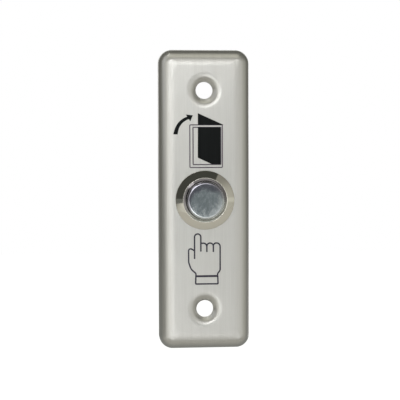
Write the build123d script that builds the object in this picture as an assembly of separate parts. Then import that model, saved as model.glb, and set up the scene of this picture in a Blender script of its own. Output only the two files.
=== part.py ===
from build123d import *

import math
import os

# A door exit button: a slim pressed steel face plate that carries a round metal push-button switch.
# The origin is the middle of the plate on the wall. +X is right, +Z is up and the face looks along -Y.
# Every piece is drawn flat, with x right, y up and z standing out from the wall, and then stood up.
# All sizes are in millimetres, and every name that ends in _Z is a height out from the wall.

# Face plate
PLATE_WIDTH = 28.0
PLATE_HEIGHT = 92.0
PLATE_DEPTH = 6.0
SHEET = 1.0
EDGE_ROLL = 3.9
FLAT_CORNER = 0.3

# Pressed screw holes
HOLE_SPACING = 67.0
HOLE_DIAMETER = 5.2
DIMPLE_DIAMETER = 11.2
DIMPLE_LIP = 3.9
DIMPLE_LEAN = 40.0

# Switch body: flange, bevelled bezel and threaded barrel, turned in one piece
BARREL_DIAMETER = 16.0
BARREL_LENGTH = 12.9
BARREL_CHAMFER = 0.5
FLANGE_DIAMETER = 18.0
FLANGE_EDGE = 0.5
BEZEL_WIDTH = 2.0
BEZEL_RISE = 1.4
LIP_DROP = 0.7
EDGE_BREAK = 0.12
WEB_THICKNESS = 2.2
BARREL_WALL = 1.2
HOLE_ROOM = 0.1

# Gasket and nut
GASKET_THICKNESS = 0.4
GASKET_DIAMETER = 17.6
NUT_FLATS = 19.0
NUT_THICKNESS = 2.2
NUT_CHAMFER = 0.5
THREAD_PLAY = 0.03

# Button cap with its stem
CAP_DIAMETER = 11.6
CAP_GAP = 0.35
CAP_HEIGHT = 4.3
CAP_PROUD = 1.8
CAP_ROUND = 0.8
CAP_CROWN = 1.8
CAP_FLOAT = 0.4
TRAVEL = 2.2
STEM_DIAMETER = 4.0
STEM_LAND = 0.72
SPIGOT_DIAMETER = 2.0
SPIGOT_LENGTH = 1.0
RUNNING_FIT = 0.05

# Seal ring on the cap
SEAL_WIRE = 0.9
SEAL_HEIGHT = 1.1
GROOVE_ROOM = 0.05

# Return spring
SPRING_DIAMETER = 7.5
SPRING_WIRE = 0.5
SPRING_TURNS = 4.5
SPRING_POCKET = 8.4

# Retaining clip
CLIP_DIAMETER = 6.8
CLIP_BORE = 5.0
CLIP_GROOVE = 3.0
CLIP_MOUTH = 2.4
CLIP_PRONG = 1.0
CLIP_THICKNESS = 0.5
CLIP_PLAY = 0.08

# Plunger
COLLAR_DIAMETER = 4.8
COLLAR_HEIGHT = 1.3
SHANK_DIAMETER = 2.2
SNAP_DIAMETER = 3.3
SNAP_HEIGHT = 0.8
SNAP_SLOT = 0.4

# Contact spring
CONTACT_SPRING_DIAMETER = 3.6
CONTACT_SPRING_WIRE = 0.3
CONTACT_SPRING_TURNS = 4.0
CONTACT_SPRING_LENGTH = 3.25

# Contact bridge and contact tips
BRIDGE_LENGTH = 10.4
BRIDGE_WIDTH = 3.4
BRIDGE_THICKNESS = 0.5
CONTACT_X = 3.5
MOVING_TIP_DIAMETER = 2.0
FIXED_TIP_DIAMETER = 2.2
TIP_HEIGHT = 0.4
RIVET_DIAMETER = 1.2
OVERTRAVEL = 1.0

# Contact base
SOCKET_ROOM = 0.05
BASE_DIAMETER = 14.6
BASE_FLATS = 13.2
BASE_FLOOR = 3.4
BASE_CHAMFER = 0.3
BASE_ROOM = 0.6
CHAMBER_LENGTH = 11.2
CHAMBER_WIDTH = 5.6
CHAMBER_CORNER = 1.0
RELIEF_DIAMETER = 4.0
BARRIER_THICKNESS = 1.2
BARRIER_LENGTH = 12.0
BARRIER_HEIGHT = 3.3
BARRIER_ROUND = 0.5

# Terminal strips
STRIP_THICKNESS = 0.8
STRIP_BEND = 0.7
TAB_WIDTH = 2.8
TERMINAL_WIDTH = 5.8
LEG_X = 5.2
INNER_TAB_X = 2.2
TERMINAL_X = 1.0

# Wire clamps and terminal screws
SCREW_X = 3.3
SCREW_DIAMETER = 2.5
SCREW_LENGTH = 3.6
SCREW_ROOM = 0.1
HEAD_DIAMETER = 4.2
HEAD_HEIGHT = 1.4
HEAD_ROUND = 0.4
RECESS_WIDTH = 0.6
RECESS_DEPTH = 0.7
CLAMP_WIDTH = 4.2
CLAMP_THICKNESS = 0.6
CLAMP_EAR = 0.9
EAR_ROOM = 0.15

# Heights out from the wall, from the face back to the terminals
FACE_Z = PLATE_DEPTH
FLANGE_Z = FACE_Z + GASKET_THICKNESS
BEVEL_Z = FLANGE_Z + FLANGE_EDGE
CREST_Z = BEVEL_Z + BEZEL_RISE
CAP_TOP_Z = CREST_Z + CAP_PROUD
CAP_BOTTOM_Z = CAP_TOP_Z - CAP_HEIGHT
POCKET_Z = CAP_TOP_Z - CAP_CROWN
WEB_TOP_Z = CAP_BOTTOM_Z - TRAVEL - CAP_FLOAT
WEB_BOTTOM_Z = WEB_TOP_Z - WEB_THICKNESS
BARREL_END_Z = FLANGE_Z - BARREL_LENGTH
CLIP_TOP_Z = WEB_BOTTOM_Z - CLIP_PLAY
CLIP_BOTTOM_Z = CLIP_TOP_Z - CLIP_THICKNESS
STEM_END_Z = CLIP_BOTTOM_Z - STEM_LAND
COLLAR_BOTTOM_Z = STEM_END_Z - COLLAR_HEIGHT
BRIDGE_TOP_Z = COLLAR_BOTTOM_Z - CONTACT_SPRING_LENGTH
BRIDGE_BOTTOM_Z = BRIDGE_TOP_Z - BRIDGE_THICKNESS
SNAP_TOP_Z = BRIDGE_BOTTOM_Z - RUNNING_FIT
SNAP_BOTTOM_Z = SNAP_TOP_Z - SNAP_HEIGHT
CONTACT_GAP = TRAVEL - OVERTRAVEL + RUNNING_FIT
INNER_TAB_Z = BRIDGE_BOTTOM_Z - 2 * TIP_HEIGHT - CONTACT_GAP
CHAMBER_FLOOR_Z = INNER_TAB_Z - STRIP_THICKNESS
RELIEF_Z = SNAP_BOTTOM_Z - TRAVEL - BASE_ROOM
BASE_RIM_Z = CLIP_BOTTOM_Z - TRAVEL - BASE_ROOM
BASE_REAR_Z = CHAMBER_FLOOR_Z - BASE_FLOOR
TERMINAL_REAR_Z = BASE_REAR_Z - STRIP_THICKNESS
CLAMP_REAR_Z = TERMINAL_REAR_Z - CLAMP_THICKNESS

# Radii that mating pieces share
BORE_RADIUS = CAP_DIAMETER / 2 + CAP_GAP
BARREL_RADIUS = BARREL_DIAMETER / 2
SOCKET_RADIUS = BARREL_RADIUS - BARREL_WALL
STEM_RADIUS = STEM_DIAMETER / 2
SEAL_RADIUS = BORE_RADIUS - RUNNING_FIT - SEAL_WIRE / 2
GROOVE_RADIUS = SEAL_RADIUS - SEAL_WIRE / 2 - GROOVE_ROOM
SIDES = {"left": -1, "right": 1}


def turned(points, rounds=()):
    """Solid turned about the z axis from (radius, height) points, with (size, corner) rounds."""
    profile = make_face(Polyline(*points, close=True))
    for size, corner in rounds:
        profile = fillet(profile.vertices().sort_by_distance((*corner, 0))[0], size)
    return revolve(Plane.XZ * profile, Axis.Z)


def disc(diameter, low, high):
    """Round bar from one height to another."""
    return Pos(0, 0, low) * extrude(Circle(diameter / 2), high - low)


def slab(outline, low, high):
    """Flat outline made solid from one height to another."""
    return Pos(0, 0, low) * extrude(outline, high - low)


def coil(diameter, wire, turns, low, high):
    """Spring wire wound in half turns, each on a circle tilted by its share of the rise, ends ground flat."""
    half_turns = round(2 * turns)
    rise = (high - low) / half_turns
    across = diameter - wire
    tilt = math.degrees(math.atan2(rise, across))
    section = Plane.XZ * Pos(math.hypot(across, rise) / 2) * Circle(wire / 2)
    half_turn = Rot(0, tilt, 0) * revolve(section, Axis.Z, 180)
    wound = Part()
    for step in range(half_turns):
        wound += Pos(0, 0, low + (step + 0.5) * rise) * Rot(0, 0, 180 * step) * half_turn
    return wound & disc(2 * diameter, low, high)


# Pieces on the wall side of the joint

def dished_block(inset):
    """Block of the plate's outline with its front edge rolled over, drawn in by the inset all round."""
    corner = EDGE_ROLL + FLAT_CORNER - inset
    outline = RectangleRounded(PLATE_WIDTH - 2 * inset, PLATE_HEIGHT - 2 * inset, corner)
    block = extrude(outline, PLATE_DEPTH - inset)
    return fillet(block.faces().sort_by(Axis.Z)[-1].edges(), EDGE_ROLL - inset)


def dimple():
    """Funnel that the face is pressed into round a screw hole: a rounded lip, then a straight wall."""
    lip_centre = (DIMPLE_DIAMETER / 2, FACE_Z - DIMPLE_LIP)
    front = CenterArc(lip_centre, DIMPLE_LIP, 90, DIMPLE_LEAN)
    back = CenterArc(lip_centre, DIMPLE_LIP - SHEET, 90, DIMPLE_LEAN)
    fall = math.tan(math.radians(DIMPLE_LEAN))
    edge = HOLE_DIAMETER / 2
    front_edge = (edge, (front @ 1).Y - ((front @ 1).X - edge) * fall)
    back_edge = (edge, (back @ 1).Y - ((back @ 1).X - edge) * fall)
    wall = Polyline(front @ 1, front_edge, back_edge, back @ 1)
    profile = make_face([front, wall, back, Line(back @ 0, front @ 0)])
    return revolve(Plane.XZ * profile, Axis.Z)


def face_plate():
    """Pressed sheet: rolled edges, a hole for the switch and two dimpled screw holes."""
    plate = dished_block(0) - dished_block(SHEET)
    for side in SIDES.values():
        place = Pos(0, side * HOLE_SPACING / 2)
        plate -= place * disc(DIMPLE_DIAMETER, FACE_Z - SHEET, FACE_Z)
        plate += place * dimple()
    return plate - disc(BARREL_DIAMETER + 2 * HOLE_ROOM, FACE_Z - SHEET, FACE_Z)


def switch_body():
    """Turned barrel: bevelled bezel, bore for the cap, web that guides the stem, socket for the base."""
    crest = FLANGE_DIAMETER / 2 - BEZEL_WIDTH
    guide = STEM_RADIUS + RUNNING_FIT
    bevel_edge = (FLANGE_DIAMETER / 2, BEVEL_Z)
    crest_edge = (crest, CREST_Z)
    outline = [
        (FLANGE_DIAMETER / 2, FLANGE_Z),
        bevel_edge,
        crest_edge,
        (BORE_RADIUS, CREST_Z - LIP_DROP),
        (BORE_RADIUS, WEB_TOP_Z),
        (guide, WEB_TOP_Z),
        (guide, WEB_BOTTOM_Z),
        (SOCKET_RADIUS, WEB_BOTTOM_Z),
        (SOCKET_RADIUS, BARREL_END_Z),
        (BARREL_RADIUS - BARREL_CHAMFER, BARREL_END_Z),
        (BARREL_RADIUS, BARREL_END_Z + BARREL_CHAMFER),
        (BARREL_RADIUS, FLANGE_Z),
    ]
    return turned(outline, [(EDGE_BREAK, bevel_edge), (EDGE_BREAK, crest_edge)])


def panel_gasket():
    """Flat rubber ring between the flange and the face."""
    ring = disc(GASKET_DIAMETER, FACE_Z, FLANGE_Z)
    return ring - disc(BARREL_DIAMETER + 2 * THREAD_PLAY, FACE_Z, FLANGE_Z)


def mounting_nut():
    """Thin hexagon nut that pulls the flange down on the plate from behind."""
    top = FACE_Z - SHEET
    bottom = top - NUT_THICKNESS
    hexagon = slab(RegularPolygon(NUT_FLATS / 2, 6, major_radius=False), bottom, top)
    corner = NUT_FLATS / math.sqrt(3)
    waist = corner - 2 * NUT_CHAMFER
    chamfers = turned([
        (0, bottom),
        (waist, bottom),
        (corner, bottom + NUT_CHAMFER),
        (corner, top - NUT_CHAMFER),
        (waist, top),
        (0, top),
    ])
    return (hexagon & chamfers) - disc(BARREL_DIAMETER + 2 * THREAD_PLAY, bottom, top)


def terminal(side):
    """Brass strip bent to a C: a tab in the chamber, a leg through the base and a tab for the screw."""
    half = STRIP_THICKNESS / 2
    path = FilletPolyline(
        (INNER_TAB_X, INNER_TAB_Z - half),
        (LEG_X, INNER_TAB_Z - half),
        (LEG_X, TERMINAL_REAR_Z + half),
        (TERMINAL_X, TERMINAL_REAR_Z + half),
        radius=STRIP_BEND,
    )
    section = Plane.XZ * trace(path, STRIP_THICKNESS)
    strip = extrude(section, TERMINAL_WIDTH / 2, both=True)
    narrow = Pos(0, 0, BASE_REAR_Z) * Box(
        BASE_DIAMETER,
        TAB_WIDTH,
        INNER_TAB_Z - BASE_REAR_Z,
        align=(Align.CENTER, Align.CENTER, Align.MIN),
    )
    wide = slab(Rectangle(BASE_DIAMETER, TERMINAL_WIDTH), TERMINAL_REAR_Z, BASE_REAR_Z)
    strip &= narrow + wide
    strip -= Pos(CONTACT_X) * disc(RIVET_DIAMETER, CHAMBER_FLOOR_Z, INNER_TAB_Z)
    strip -= Pos(SCREW_X) * disc(SCREW_DIAMETER + 2 * THREAD_PLAY, TERMINAL_REAR_Z, BASE_REAR_Z)
    return mirrored(strip, side)


def mirrored(piece, side):
    """The piece itself on the right, and its mirror image on the left."""
    return piece if side > 0 else mirror(piece, Plane.YZ)


def contact_base():
    """Moulded block that closes the barrel: chamber for the contacts, terminal seats and a barrier."""
    spigot = SOCKET_RADIUS - SOCKET_ROOM
    block = BASE_DIAMETER / 2
    base = turned([
        (0, BASE_RIM_Z),
        (spigot, BASE_RIM_Z),
        (spigot, BARREL_END_Z),
        (block, BARREL_END_Z),
        (block, BASE_REAR_Z + BASE_CHAMFER),
        (block - BASE_CHAMFER, BASE_REAR_Z),
        (0, BASE_REAR_Z),
    ])
    flats = Rectangle(BASE_DIAMETER, BASE_DIAMETER) - Rectangle(BASE_DIAMETER, BASE_FLATS)
    base -= slab(flats, BASE_REAR_Z, BARREL_END_Z)
    chamber = RectangleRounded(CHAMBER_LENGTH, CHAMBER_WIDTH, CHAMBER_CORNER)
    base -= slab(chamber, CHAMBER_FLOOR_Z, BASE_RIM_Z)
    base -= disc(RELIEF_DIAMETER, RELIEF_Z, CHAMBER_FLOOR_Z)
    barrier = slab(
        Rectangle(BARRIER_THICKNESS, BARRIER_LENGTH), BASE_REAR_Z - BARRIER_HEIGHT, BASE_REAR_Z
    )
    far_edges = barrier.faces().sort_by(Axis.Z)[0].edges().filter_by(Axis.X)
    base += fillet(far_edges, BARRIER_ROUND)
    screw_end = CLAMP_REAR_Z + SCREW_LENGTH + SCREW_ROOM
    for side in SIDES.values():
        base -= terminal(side)
        seat = Pos(side * SCREW_X)
        base -= seat * disc(SCREW_DIAMETER + 2 * SCREW_ROOM, BASE_REAR_Z, screw_end)
        rivet_end = CHAMBER_FLOOR_Z - TIP_HEIGHT / 2
        base -= Pos(side * CONTACT_X) * disc(
            RIVET_DIAMETER + 2 * SCREW_ROOM, rivet_end, CHAMBER_FLOOR_Z
        )
    return base


def contact_rivet(side, diameter, root, through, facing):
    """Contact rivet: a low domed head that stands on the root height, and a shank through the metal."""
    head = turned(
        [
            (0, 0),
            (diameter / 2, 0),
            (diameter / 2, TIP_HEIGHT),
            (0, TIP_HEIGHT),
        ],
        [(TIP_HEIGHT / 2, (diameter / 2, TIP_HEIGHT))],
    )
    shank = disc(RIVET_DIAMETER - 2 * THREAD_PLAY, -through, 0)
    rivet = head + shank
    if facing < 0:
        rivet = mirror(rivet, Plane.XY)
    return Pos(side * CONTACT_X, 0, root) * rivet


def fixed_contact(side):
    """Contact that waits on the terminal's inner tab."""
    return contact_rivet(side, FIXED_TIP_DIAMETER, INNER_TAB_Z, STRIP_THICKNESS, 1)


def wire_clamp(side):
    """Square clamp under the screw head, with two ears that keep it from turning."""
    inside = HEAD_DIAMETER / 2 + EAR_ROOM
    outside = inside + CLAMP_THICKNESS
    plate = slab(Rectangle(CLAMP_WIDTH, 2 * outside), CLAMP_REAR_Z, TERMINAL_REAR_Z)
    ears = Rectangle(CLAMP_WIDTH, 2 * outside) - Rectangle(CLAMP_WIDTH, 2 * inside)
    clamp = plate + slab(ears, CLAMP_REAR_Z - CLAMP_EAR, CLAMP_REAR_Z)
    bends = clamp.edges().filter_by(Axis.X).group_by(Axis.Z)[-1]
    clamp = fillet(bends, CLAMP_THICKNESS * 0.8)
    clamp -= disc(SCREW_DIAMETER + 2 * SCREW_ROOM, CLAMP_REAR_Z, TERMINAL_REAR_Z)
    return Pos(side * SCREW_X) * clamp


def terminal_screw(side):
    """Pan-head screw with a crossed slot, turned down on the wire clamp."""
    far = CLAMP_REAR_Z - HEAD_HEIGHT
    edge = (HEAD_DIAMETER / 2, far)
    screw = turned(
        [
            (0, CLAMP_REAR_Z + SCREW_LENGTH),
            (SCREW_DIAMETER / 2, CLAMP_REAR_Z + SCREW_LENGTH),
            (SCREW_DIAMETER / 2, CLAMP_REAR_Z),
            (HEAD_DIAMETER / 2, CLAMP_REAR_Z),
            edge,
            (0, far),
        ],
        [(HEAD_ROUND, edge)],
    )
    cross = Rectangle(HEAD_DIAMETER, RECESS_WIDTH) + Rectangle(RECESS_WIDTH, HEAD_DIAMETER * 0.6)
    return Pos(side * SCREW_X) * (screw - slab(cross, far, far + RECESS_DEPTH))


def return_spring():
    """Spring round the stem, from the web up into the cap."""
    return coil(SPRING_DIAMETER, SPRING_WIRE, SPRING_TURNS, WEB_TOP_Z, POCKET_Z)


# Pieces that move with the button

def button_cap():
    """Turned cap and stem: rounded head, seal groove, spring pocket, clip groove and end spigot."""
    radius = CAP_DIAMETER / 2
    seal_z = CAP_BOTTOM_Z + SEAL_HEIGHT
    groove_half = SEAL_WIRE / 2 + GROOVE_ROOM
    rim = (radius, CAP_TOP_Z)
    outline = [
        (0, CAP_TOP_Z),
        rim,
        (radius, seal_z + groove_half),
        (GROOVE_RADIUS, seal_z + groove_half),
        (GROOVE_RADIUS, seal_z - groove_half),
        (radius, seal_z - groove_half),
        (radius, CAP_BOTTOM_Z),
        (SPRING_POCKET / 2, CAP_BOTTOM_Z),
        (SPRING_POCKET / 2, POCKET_Z),
        (STEM_RADIUS, POCKET_Z),
        (STEM_RADIUS, CLIP_TOP_Z),
        (CLIP_GROOVE / 2, CLIP_TOP_Z),
        (CLIP_GROOVE / 2, CLIP_BOTTOM_Z),
        (STEM_RADIUS, CLIP_BOTTOM_Z),
        (STEM_RADIUS, STEM_END_Z),
        (SPIGOT_DIAMETER / 2, STEM_END_Z),
        (SPIGOT_DIAMETER / 2, STEM_END_Z - SPIGOT_LENGTH),
        (0, STEM_END_Z - SPIGOT_LENGTH),
    ]
    return turned(outline, [(CAP_ROUND, rim)])


def cap_seal():
    """Rubber ring in the cap's groove, which wipes the bore."""
    return Pos(0, 0, CAP_BOTTOM_Z + SEAL_HEIGHT) * Torus(SEAL_RADIUS, SEAL_WIRE / 2)


def retaining_clip():
    """Spring clip pushed on the stem's groove from one side, held by three prongs."""
    ring = Circle(CLIP_DIAMETER / 2) - Circle(CLIP_BORE / 2)
    prong = Pos(0, (CLIP_GROOVE + CLIP_DIAMETER) / 4) * Rectangle(
        CLIP_PRONG, (CLIP_DIAMETER - CLIP_GROOVE) / 2
    )
    for turn in (0, 105, -105):
        ring += Rot(0, 0, turn) * prong
    ring -= Pos(0, -CLIP_DIAMETER / 2) * Rectangle(CLIP_MOUTH, CLIP_DIAMETER)
    ring &= Circle(CLIP_DIAMETER / 2)
    return slab(ring - Circle(CLIP_GROOVE / 2 + THREAD_PLAY), CLIP_BOTTOM_Z, CLIP_TOP_Z)


def plunger():
    """Moulded plunger on the stem's spigot: collar, shank for the bridge, and a split snap head."""
    shank = SHANK_DIAMETER / 2
    snap = SNAP_DIAMETER / 2
    body = turned([
        (0, STEM_END_Z),
        (COLLAR_DIAMETER / 2, STEM_END_Z),
        (COLLAR_DIAMETER / 2, COLLAR_BOTTOM_Z),
        (shank, COLLAR_BOTTOM_Z),
        (shank, SNAP_TOP_Z),
        (snap, SNAP_TOP_Z),
        (shank, SNAP_BOTTOM_Z),
        (0, SNAP_BOTTOM_Z),
    ])
    socket_end = STEM_END_Z - SPIGOT_LENGTH
    body -= disc(SPIGOT_DIAMETER + 2 * THREAD_PLAY, socket_end, STEM_END_Z)
    slot_top = BRIDGE_TOP_Z + BRIDGE_THICKNESS
    return body - slab(Rectangle(SNAP_SLOT, SNAP_DIAMETER), SNAP_BOTTOM_Z, slot_top)


def contact_spring():
    """Small spring that presses the bridge away from the plunger's collar."""
    return coil(
        CONTACT_SPRING_DIAMETER,
        CONTACT_SPRING_WIRE,
        CONTACT_SPRING_TURNS,
        BRIDGE_TOP_Z,
        COLLAR_BOTTOM_Z,
    )


# Pieces that ride on the plunger

def contact_bridge():
    """Brass strip that slides on the plunger's shank and joins the two contacts."""
    bar = SlotOverall(BRIDGE_LENGTH, BRIDGE_WIDTH) - Circle(SHANK_DIAMETER / 2 + RUNNING_FIT)
    for side in SIDES.values():
        bar -= Pos(side * CONTACT_X) * Circle(RIVET_DIAMETER / 2)
    return slab(bar, BRIDGE_BOTTOM_Z, BRIDGE_TOP_Z)


def moving_contact(side):
    """Contact riveted under one end of the bridge."""
    return contact_rivet(side, MOVING_TIP_DIAMETER, BRIDGE_BOTTOM_Z, BRIDGE_THICKNESS, -1)


def build_pieces():
    """Every piece by its name, in the flat drawing position."""
    pieces = {
        "face_plate": face_plate(),
        "switch_body": switch_body(),
        "panel_gasket": panel_gasket(),
        "mounting_nut": mounting_nut(),
        "contact_base": contact_base(),
        "return_spring": return_spring(),
        "button_cap": button_cap(),
        "cap_seal": cap_seal(),
        "retaining_clip": retaining_clip(),
        "plunger": plunger(),
        "contact_spring": contact_spring(),
        "contact_bridge": contact_bridge(),
    }
    for name, side in SIDES.items():
        pieces[name + "_terminal"] = terminal(side)
        pieces[name + "_wire_clamp"] = wire_clamp(side)
        pieces[name + "_terminal_screw"] = terminal_screw(side)
        pieces[name + "_fixed_contact"] = fixed_contact(side)
        pieces[name + "_moving_contact"] = moving_contact(side)
    return pieces


os.makedirs("parts", exist_ok=True)
stand_up = Plane.XZ.location
for node, piece in build_pieces().items():
    export_step(stand_up * piece, f"parts/{node}.step")
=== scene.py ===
import math

import bmesh
import bpy
import numpy as np
from mathutils import Matrix, Vector


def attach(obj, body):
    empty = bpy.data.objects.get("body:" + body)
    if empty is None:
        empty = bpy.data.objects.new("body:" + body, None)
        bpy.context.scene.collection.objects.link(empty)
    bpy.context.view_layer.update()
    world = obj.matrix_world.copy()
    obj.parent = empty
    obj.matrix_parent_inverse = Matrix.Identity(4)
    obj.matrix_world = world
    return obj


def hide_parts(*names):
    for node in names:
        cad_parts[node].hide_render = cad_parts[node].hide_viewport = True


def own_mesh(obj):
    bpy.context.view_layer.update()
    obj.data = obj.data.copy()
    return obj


# A door exit button: a slim pressed steel plate with a round metal push button, dressed for its looks.
# Shapes are worked out in the drawing frame of the part: millimetres, x right, y up, z out from the wall.
# stood_up() turns them into the shared frame: metres, with the face looking along -Y.

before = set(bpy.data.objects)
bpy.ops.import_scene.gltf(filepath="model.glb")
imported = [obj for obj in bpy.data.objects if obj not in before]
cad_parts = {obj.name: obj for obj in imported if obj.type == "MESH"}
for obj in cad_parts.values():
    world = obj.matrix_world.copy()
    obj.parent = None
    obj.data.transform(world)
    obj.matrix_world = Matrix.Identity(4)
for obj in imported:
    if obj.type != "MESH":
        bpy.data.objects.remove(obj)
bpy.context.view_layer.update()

MM = 0.001
FULL_TURN = 2 * math.pi
MERGE_DISTANCE = 1e-7
TURNED_COLUMNS = 144
EDGE_POINTS = 24

# Angles in degrees: creases past which an edge stays sharp, and below which two CAD faces count as one flat
CREASE = 40.0
NUT_CREASE = 20.0
SOFTENED_CREASE = 35.0
FLAT_ANGLE = 0.6

# Face plate
HALF_WIDTH = 14.0
HALF_HEIGHT = 46.0
FACE_Z = 6.0
SHEET = 1.0
ROLL_START_Z = 2.1
ROLL_SOFT_END = 2.1
SOFT_SLOPE = math.radians(12.0)
OUTER_CORNER = 4.2
CORNER_SPREAD = 0.5
CUT_EDGE = 0.15
HOLE_Y = 33.5
HOLE_RADIUS = 2.6
DIMPLE_RADIUS = 5.68
DIMPLE_LIP = 2.6
DIMPLE_LEAN = math.radians(42.0)
DIMPLE_SOFT_END = 1.3
SWITCH_HOLE_RADIUS = 8.1
SEAM_Y = 16.75

# Switch body
BARREL_RADIUS = 8.0
FLANGE_RADIUS = 9.0
CREST_RADIUS = 6.8
BORE_RADIUS = 6.15
LIP_RADIUS = 5.95
GUIDE_RADIUS = 2.05
SOCKET_RADIUS = 6.8
FLANGE_Z = 6.4
BEVEL_Z = 6.9
CREST_Z = 8.3
LIP_Z = 7.98
LIP_UNDER_Z = 7.6
WEB_TOP_Z = 3.2
WEB_BOTTOM_Z = 1.0
BARREL_END_Z = -6.5
BARREL_CHAMFER = 0.5
THREAD_PITCH = 1.0
THREAD_DEPTH = 0.54
THREAD_CREST = 0.12
THREAD_FLANK = 0.66
THREAD_START = 0.6
THREAD_END = 0.7
BODY_ROUNDS = [0.05, 0.12, 0.14, 0.12, 0.05, 0.05, 0.1, 0.05, 0.05, 0.1, 0.08, 0.05]

# Cap and its stem
CAP_RADIUS = 5.8
CAP_TOP_Z = 10.1
CAP_BOTTOM_Z = 5.8
CAP_ROUND = 0.8
SMALL_ROUND = 0.06
POCKET_ROUND = 0.1
SEAL_Z = 6.9
GROOVE_HALF = 0.5
GROOVE_RADIUS = 5.15
POCKET_RADIUS = 4.2
POCKET_Z = 8.3
STEM_RADIUS = 2.0
CLIP_GROOVE_RADIUS = 1.5
CLIP_TOP_Z = 0.92
CLIP_BOTTOM_Z = 0.42
STEM_END_Z = -0.3
SPIGOT_RADIUS = 1.0
SPIGOT_END_Z = -1.3

# Nut
NUT_APOTHEM = 9.5
NUT_TOP_Z = 5.0
NUT_BOTTOM_Z = 2.8
NUT_CHAMFER = 0.5
NUT_BORE = 8.03
NUT_LEAD = 0.3

# Springs
RETURN_DIAMETER = 7.5
RETURN_WIRE = 0.5
RETURN_TURNS = 5.5
CONTACT_DIAMETER = 3.6
CONTACT_WIRE = 0.3
CONTACT_TURNS = 5.0
CONTACT_LOW_Z = -4.85
CONTACT_HIGH_Z = -1.6
CLOSED_TURNS = 0.75

# Rounds given to the edges of CAD shapes
SOFT_EDGE = 0.07
SCREW_EDGE = 0.05
BASE_EDGE = 0.12

# Printed signs
INK_RISE = 0.015
INK_ROOT = 0.03
HAIRLINE = 0.35
HAND_LINE = 0.46
CUFF_LINE = 0.62

# Studio, in metres
LAMP_DISTANCE = 0.6
FLOOR_HALF = 2.0
FLOOR_FRONT = -0.2
FLOOR_BACK = 2.0
FLOOR_LEVEL = -0.2


# Shapes

def stood_up(points):
    """Drawing point (x, y, z) in millimetres to (x, -z, y) in metres."""
    x, y, z = np.moveaxis(np.asarray(points, float), -1, 0)
    return np.stack([x, -z, y], axis=-1) * MM


def spaced(count):
    """Shares of a run from 0 up to, but not with, 1."""
    return np.arange(count) / count


def rounded_path(corners, rounds, steps=5):
    """Run of straight lines whose inner corners are arcs.

    At a corner with unit vectors u and v towards its neighbours and half angle h between them, the arc of
    radius r leaves the lines r / tan(h) from the corner. Its centre is r / sin(h) along the bisector.
    """
    corners = np.asarray(corners, float)
    path = [corners[:1]]
    for before, corner, after, radius in zip(corners, corners[1:], corners[2:], rounds):
        u = (before - corner) / np.linalg.norm(before - corner)
        v = (after - corner) / np.linalg.norm(after - corner)
        if radius == 0:
            path.append(corner[None])
            continue
        half = math.acos(np.clip(u @ v, -1, 1)) / 2
        bisector = (u + v) / np.linalg.norm(u + v)
        centre = corner + bisector * radius / math.sin(half)
        start = corner + u * radius / math.tan(half) - centre
        end = corner + v * radius / math.tan(half) - centre
        first = math.atan2(start[1], start[0])
        swing = math.remainder(math.atan2(end[1], end[0]) - first, FULL_TURN)
        turn = first + swing * np.linspace(0, 1, steps + 1)
        path.append(centre + radius * np.stack([np.cos(turn), np.sin(turn)], axis=-1))
    path.append(corners[-1:])
    return np.concatenate(path)


def turned(profile):
    """Profile of (radius, height) carried round the z axis: (r cos a, r sin a, z) for every angle a."""
    radius, height = np.asarray(profile, float)[:, None, :].transpose(2, 0, 1)
    angle = FULL_TURN * spaced(TURNED_COLUMNS)
    return np.stack([radius * np.cos(angle), radius * np.sin(angle), height + 0 * angle], axis=-1)


def quads(rows, columns, first):
    """Corner numbers of the quads between neighbouring rows, with the last column joined to the first."""
    number = first + np.arange(rows * columns).reshape(rows, columns)
    number = np.concatenate([number, number[:, :1]], axis=1)
    corners = [number[:-1, :-1], number[:-1, 1:], number[1:, 1:], number[1:, :-1]]
    return np.stack(corners, axis=-1).reshape(-1, 4)


def mesh_of(name, grids):
    """One mesh from grids of drawing points: seams and poles merged, faces turned outwards."""
    points, faces, first = [], [], 0
    for grid in grids:
        rows, columns = grid.shape[:2]
        points.append(stood_up(grid).reshape(-1, 3))
        faces.append(quads(rows, columns, first))
        first += rows * columns
    points, faces = np.concatenate(points), np.concatenate(faces)
    mesh = bpy.data.meshes.new(name)
    mesh.vertices.add(len(points))
    mesh.vertices.foreach_set("co", points.ravel())
    mesh.loops.add(faces.size)
    mesh.loops.foreach_set("vertex_index", faces.ravel())
    mesh.polygons.add(len(faces))
    mesh.polygons.foreach_set("loop_start", np.arange(0, faces.size, 4))
    mesh.update(calc_edges=True)
    work = bmesh.new()
    work.from_mesh(mesh)
    bmesh.ops.remove_doubles(work, verts=work.verts, dist=MERGE_DISTANCE)
    bmesh.ops.recalc_face_normals(work, faces=work.faces)
    work.to_mesh(mesh)
    work.free()
    return mesh


def place(name, mesh, material, body, stands_for=(), crease=CREASE):
    """Object of a finished mesh: smooth but for edges past the crease, dressed, and riding on its body."""
    mesh.polygons.foreach_set("use_smooth", np.ones(len(mesh.polygons), bool))
    mesh.set_sharp_from_angle(angle=math.radians(crease))
    mesh.materials.clear()
    mesh.materials.append(material)
    made = bpy.data.objects.new(name, mesh)
    bpy.context.scene.collection.objects.link(made)
    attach(made, body)
    if stands_for:
        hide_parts(*stands_for)
    return made


# Face plate

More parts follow.
